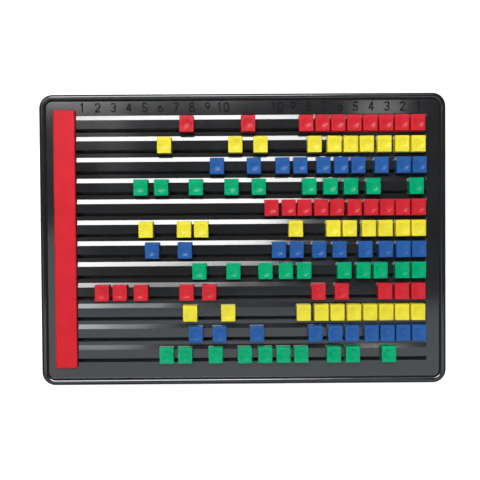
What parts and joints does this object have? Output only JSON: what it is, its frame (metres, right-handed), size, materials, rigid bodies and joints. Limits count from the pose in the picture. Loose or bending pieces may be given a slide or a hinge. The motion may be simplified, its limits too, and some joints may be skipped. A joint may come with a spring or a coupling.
{
  "type": "abacus",
  "caption": "Flat moulded counting board with parallel slots in which coloured square tiles slide, a bar over the slots' loading ends, and raised numerals along one edge.",
  "frame": {"origin": "middle of the board, on the surface its feet stand on", "axes": "+X along the board's length from the end bar to the tiles' resting end, +Y towards the numerals, +Z out of the counting face"},
  "size_m": [0.3, 0.215, 0.0177],
  "materials": {
    "board_black": "semi-gloss moulded black plastic",
    "bar_red": "satin red plastic",
    "tile_red": "semi-gloss red plastic",
    "tile_yellow": "semi-gloss yellow plastic",
    "tile_blue": "semi-gloss blue plastic",
    "tile_green": "semi-gloss green plastic",
    "screw_steel": "zinc-plated steel",
    "foot_rubber": "matte black rubber"
  },
  "bodies": {
    "board": {"board": "board_black", "back_cover": "board_black", "end_bar": "bar_red", "bar_screws": "screw_steel", "rubber_feet": "foot_rubber"},
    "row_01_group_1": {"row_01_red_tiles_1": "tile_red"},
    "row_01_group_2": {"row_01_red_tiles_2": "tile_red"},
    "row_01_group_3": {"row_01_red_tiles_3": "tile_red"},
    "row_01_group_4": {"row_01_red_tiles_4": "tile_red"},
    "row_02_group_1": {"row_02_yellow_tiles_1": "tile_yellow"},
    "row_02_group_2": {"row_02_yellow_tiles_2": "tile_yellow"},
    "row_02_group_3": {"row_02_yellow_tiles_3": "tile_yellow"},
    "row_02_group_4": {"row_02_yellow_tiles_4": "tile_yellow"},
    "row_03_group_1": {"row_03_blue_tiles_1": "tile_blue"},
    "row_03_group_2": {"row_03_blue_tiles_2": "tile_blue"},
    "row_03_group_3": {"row_03_blue_tiles_3": "tile_blue"},
    "row_03_group_4": {"row_03_blue_tiles_4": "tile_blue"},
    "row_03_group_5": {"row_03_blue_tiles_5": "tile_blue"},
    "row_03_group_6": {"row_03_blue_tiles_6": "tile_blue"},
    "row_04_group_1": {"row_04_green_tiles_1": "tile_green"},
    "row_04_group_2": {"row_04_green_tiles_2": "tile_green"},
    "row_04_group_3": {"row_04_green_tiles_3": "tile_green"},
    "row_04_group_4": {"row_04_green_tiles_4": "tile_green"},
    "row_04_group_5": {"row_04_green_tiles_5": "tile_green"},
    "row_04_group_6": {"row_04_green_tiles_6": "tile_green"},
    "row_04_group_7": {"row_04_green_tiles_7": "tile_green"},
    "row_05_group_1": {"row_05_red_tiles_1": "tile_red"},
    "row_06_group_1": {"row_06_yellow_tiles_1": "tile_yellow"},
    "row_06_group_2": {"row_06_yellow_tiles_2": "tile_yellow"},
    "row_06_group_3": {"row_06_yellow_tiles_3": "tile_yellow"},
    "row_06_group_4": {"row_06_yellow_tiles_4": "tile_yellow"},
    "row_07_group_1": {"row_07_blue_tiles_1": "tile_blue"},
    "row_07_group_2": {"row_07_blue_tiles_2": "tile_blue"},
    "row_07_group_3": {"row_07_blue_tiles_3": "tile_blue"},
    "row_07_group_4": {"row_07_blue_tiles_4": "tile_blue"},
    "row_07_group_5": {"row_07_blue_tiles_5": "tile_blue"},
    "row_08_group_1": {"row_08_green_tiles_1": "tile_green"},
    "row_08_group_2": {"row_08_green_tiles_2": "tile_green"},
    "row_08_group_3": {"row_08_green_tiles_3": "tile_green"},
    "row_08_group_4": {"row_08_green_tiles_4": "tile_green"},
    "row_08_group_5": {"row_08_green_tiles_5": "tile_green"},
    "row_09_group_1": {"row_09_red_tiles_1": "tile_red"},
    "row_09_group_2": {"row_09_red_tiles_2": "tile_red"},
    "row_09_group_3": {"row_09_red_tiles_3": "tile_red"},
    "row_09_group_4": {"row_09_red_tiles_4": "tile_red"},
    "row_09_group_5": {"row_09_red_tiles_5": "tile_red"},
    "row_09_group_6": {"row_09_red_tiles_6": "tile_red"},
    "row_10_group_1": {"row_10_yellow_tiles_1": "tile_yellow"},
    "row_10_group_2": {"row_10_yellow_tiles_2": "tile_yellow"},
    "row_10_group_3": {"row_10_yellow_tiles_3": "tile_yellow"},
    "row_10_group_4": {"row_10_yellow_tiles_4": "tile_yellow"},
    "row_11_group_1": {"row_11_blue_tiles_1": "tile_blue"},
    "row_11_group_2": {"row_11_blue_tiles_2": "tile_blue"},
    "row_11_group_3": {"row_11_blue_tiles_3": "tile_blue"},
    "row_11_group_4": {"row_11_blue_tiles_4": "tile_blue"},
    "row_12_group_1": {"row_12_green_tiles_1": "tile_green"},
    "row_12_group_2": {"row_12_green_tiles_2": "tile_green"},
    "row_12_group_3": {"row_12_green_tiles_3": "tile_green"},
    "row_12_group_4": {"row_12_green_tiles_4": "tile_green"},
    "row_12_group_5": {"row_12_green_tiles_5": "tile_green"}
  },
  "joints": [
    {"name": "row_01_slide_1", "type": "slide", "parent": "board", "child": "row_01_group_1", "axis": [1, 0, 0], "range_m": [-0.0767, 0.0341]},
    {"name": "row_01_slide_2", "type": "slide", "parent": "board", "child": "row_01_group_2", "axis": [1, 0, 0], "range_m": [-0.0341, 0.0316]},
    {"name": "row_01_slide_3", "type": "slide", "parent": "board", "child": "row_01_group_3", "axis": [1, 0, 0], "range_m": [-0.0316, 0.0009]},
    {"name": "row_01_slide_4", "type": "slide", "parent": "board", "child": "row_01_group_4", "axis": [1, 0, 0], "range_m": [-0.0009, 0.0021]},
    {"name": "row_02_slide_1", "type": "slide", "parent": "board", "child": "row_02_group_1", "axis": [1, 0, 0], "range_m": [-0.0602, 0.0411]},
    {"name": "row_02_slide_2", "type": "slide", "parent": "board", "child": "row_02_group_2", "axis": [1, 0, 0], "range_m": [-0.0411, 0.0076]},
    {"name": "row_02_slide_3", "type": "slide", "parent": "board", "child": "row_02_group_3", "axis": [1, 0, 0], "range_m": [-0.0076, 0.0286]},
    {"name": "row_02_slide_4", "type": "slide", "parent": "board", "child": "row_02_group_4", "axis": [1, 0, 0], "range_m": [-0.0286, 0.0019]},
    {"name": "row_03_slide_1", "type": "slide", "parent": "board", "child": "row_03_group_1", "axis": [1, 0, 0], "range_m": [-0.0987, 0.0161]},
    {"name": "row_03_slide_2", "type": "slide", "parent": "board", "child": "row_03_group_2", "axis": [1, 0, 0], "range_m": [-0.0161, 0.0101]},
    {"name": "row_03_slide_3", "type": "slide", "parent": "board", "child": "row_03_group_3", "axis": [1, 0, 0], "range_m": [-0.0101, 0.0061]},
    {"name": "row_03_slide_4", "type": "slide", "parent": "board", "child": "row_03_group_4", "axis": [1, 0, 0], "range_m": [-0.0061, 0.0061]},
    {"name": "row_03_slide_5", "type": "slide", "parent": "board", "child": "row_03_group_5", "axis": [1, 0, 0], "range_m": [-0.0061, 0.0052]},
    {"name": "row_03_slide_6", "type": "slide", "parent": "board", "child": "row_03_group_6", "axis": [1, 0, 0], "range_m": [-0.0052, 0.0011]},
    {"name": "row_04_slide_1", "type": "slide", "parent": "board", "child": "row_04_group_1", "axis": [1, 0, 0], "range_m": [-0.0427, 0.0146]},
    {"name": "row_04_slide_2", "type": "slide", "parent": "board", "child": "row_04_group_2", "axis": [1, 0, 0], "range_m": [-0.0146, 0.0151]},
    {"name": "row_04_slide_3", "type": "slide", "parent": "board", "child": "row_04_group_3", "axis": [1, 0, 0], "range_m": [-0.0151, 0.0091]},
    {"name": "row_04_slide_4", "type": "slide", "parent": "board", "child": "row_04_group_4", "axis": [1, 0, 0], "range_m": [-0.0091, 0.0261]},
    {"name": "row_04_slide_5", "type": "slide", "parent": "board", "child": "row_04_group_5", "axis": [1, 0, 0], "range_m": [-0.0261, 0.0056]},
    {"name": "row_04_slide_6", "type": "slide", "parent": "board", "child": "row_04_group_6", "axis": [1, 0, 0], "range_m": [-0.0056, 0.0206]},
    {"name": "row_04_slide_7", "type": "slide", "parent": "board", "child": "row_04_group_7", "axis": [1, 0, 0], "range_m": [-0.0206, 0.0033]},
    {"name": "row_05_slide_1", "type": "slide", "parent": "board", "child": "row_05_group_1", "axis": [1, 0, 0], "range_m": [-0.1385, 0.0017]},
    {"name": "row_06_slide_1", "type": "slide", "parent": "board", "child": "row_06_group_1", "axis": [1, 0, 0], "range_m": [-0.0462, 0.0171]},
    {"name": "row_06_slide_2", "type": "slide", "parent": "board", "child": "row_06_group_2", "axis": [1, 0, 0], "range_m": [-0.0171, 0.0586]},
    {"name": "row_06_slide_3", "type": "slide", "parent": "board", "child": "row_06_group_3", "axis": [1, 0, 0], "range_m": [-0.0586, 0.0166]},
    {"name": "row_06_slide_4", "type": "slide", "parent": "board", "child": "row_06_group_4", "axis": [1, 0, 0], "range_m": [-0.0166, 0.0017]},
    {"name": "row_07_slide_1", "type": "slide", "parent": "board", "child": "row_07_group_1", "axis": [1, 0, 0], "range_m": [-0.0507, 0.0131]},
    {"name": "row_07_slide_2", "type": "slide", "parent": "board", "child": "row_07_group_2", "axis": [1, 0, 0], "range_m": [-0.0131, 0.0581]},
    {"name": "row_07_slide_3", "type": "slide", "parent": "board", "child": "row_07_group_3", "axis": [1, 0, 0], "range_m": [-0.0581, 0.0056]},
    {"name": "row_07_slide_4", "type": "slide", "parent": "board", "child": "row_07_group_4", "axis": [1, 0, 0], "range_m": [-0.0056, 0.0081]},
    {"name": "row_07_slide_5", "type": "slide", "parent": "board", "child": "row_07_group_5", "axis": [1, 0, 0], "range_m": [-0.0081, 0.0014]},
    {"name": "row_08_slide_1", "type": "slide", "parent": "board", "child": "row_08_group_1", "axis": [1, 0, 0], "range_m": [-0.0852, 0.0141]},
    {"name": "row_08_slide_2", "type": "slide", "parent": "board", "child": "row_08_group_2", "axis": [1, 0, 0], "range_m": [-0.0141, 0.0126]},
    {"name": "row_08_slide_3", "type": "slide", "parent": "board", "child": "row_08_group_3", "axis": [1, 0, 0], "range_m": [-0.0126, 0.0186]},
    {"name": "row_08_slide_4", "type": "slide", "parent": "board", "child": "row_08_group_4", "axis": [1, 0, 0], "range_m": [-0.0186, 0.0051]},
    {"name": "row_08_slide_5", "type": "slide", "parent": "board", "child": "row_08_group_5", "axis": [1, 0, 0], "range_m": [-0.0051, 0.0017]},
    {"name": "row_09_slide_1", "type": "slide", "parent": "board", "child": "row_09_group_1", "axis": [1, 0, 0], "range_m": [-0.0137, 0.0226]},
    {"name": "row_09_slide_2", "type": "slide", "parent": "board", "child": "row_09_group_2", "axis": [1, 0, 0], "range_m": [-0.0226, 0.0056]},
    {"name": "row_09_slide_3", "type": "slide", "parent": "board", "child": "row_09_group_3", "axis": [1, 0, 0], "range_m": [-0.0056, 0.0696]},
    {"name": "row_09_slide_4", "type": "slide", "parent": "board", "child": "row_09_group_4", "axis": [1, 0, 0], "range_m": [-0.0696, 0.0061]},
    {"name": "row_09_slide_5", "type": "slide", "parent": "board", "child": "row_09_group_5", "axis": [1, 0, 0], "range_m": [-0.0061, 0.0209]},
    {"name": "row_09_slide_6", "type": "slide", "parent": "board", "child": "row_09_group_6", "axis": [1, 0, 0], "range_m": [-0.0209, 0.0021]},
    {"name": "row_10_slide_1", "type": "slide", "parent": "board", "child": "row_10_group_1", "axis": [1, 0, 0], "range_m": [-0.0782, 0.0171]},
    {"name": "row_10_slide_2", "type": "slide", "parent": "board", "child": "row_10_group_2", "axis": [1, 0, 0], "range_m": [-0.0171, 0.0446]},
    {"name": "row_10_slide_3", "type": "slide", "parent": "board", "child": "row_10_group_3", "axis": [1, 0, 0], "range_m": [-0.0446, 0.0021]},
    {"name": "row_10_slide_4", "type": "slide", "parent": "board", "child": "row_10_group_4", "axis": [1, 0, 0], "range_m": [-0.0021, 0.0023]},
    {"name": "row_11_slide_1", "type": "slide", "parent": "board", "child": "row_11_group_1", "axis": [1, 0, 0], "range_m": [-0.0822, 0.0066]},
    {"name": "row_11_slide_2", "type": "slide", "parent": "board", "child": "row_11_group_2", "axis": [1, 0, 0], "range_m": [-0.0066, 0.0166]},
    {"name": "row_11_slide_3", "type": "slide", "parent": "board", "child": "row_11_group_3", "axis": [1, 0, 0], "range_m": [-0.0166, 0.0321]},
    {"name": "row_11_slide_4", "type": "slide", "parent": "board", "child": "row_11_group_4", "axis": [1, 0, 0], "range_m": [-0.0321, 0.0016]},
    {"name": "row_12_slide_1", "type": "slide", "parent": "board", "child": "row_12_group_1", "axis": [1, 0, 0], "range_m": [-0.0607, 0.0116]},
    {"name": "row_12_slide_2", "type": "slide", "parent": "board", "child": "row_12_group_2", "axis": [1, 0, 0], "range_m": [-0.0116, 0.0106]},
    {"name": "row_12_slide_3", "type": "slide", "parent": "board", "child": "row_12_group_3", "axis": [1, 0, 0], "range_m": [-0.0106, 0.0131]},
    {"name": "row_12_slide_4", "type": "slide", "parent": "board", "child": "row_12_group_4", "axis": [1, 0, 0], "range_m": [-0.0131, 0.0156]},
    {"name": "row_12_slide_5", "type": "slide", "parent": "board", "child": "row_12_group_5", "axis": [1, 0, 0], "range_m": [-0.0156, 0.0238]}
  ]
}
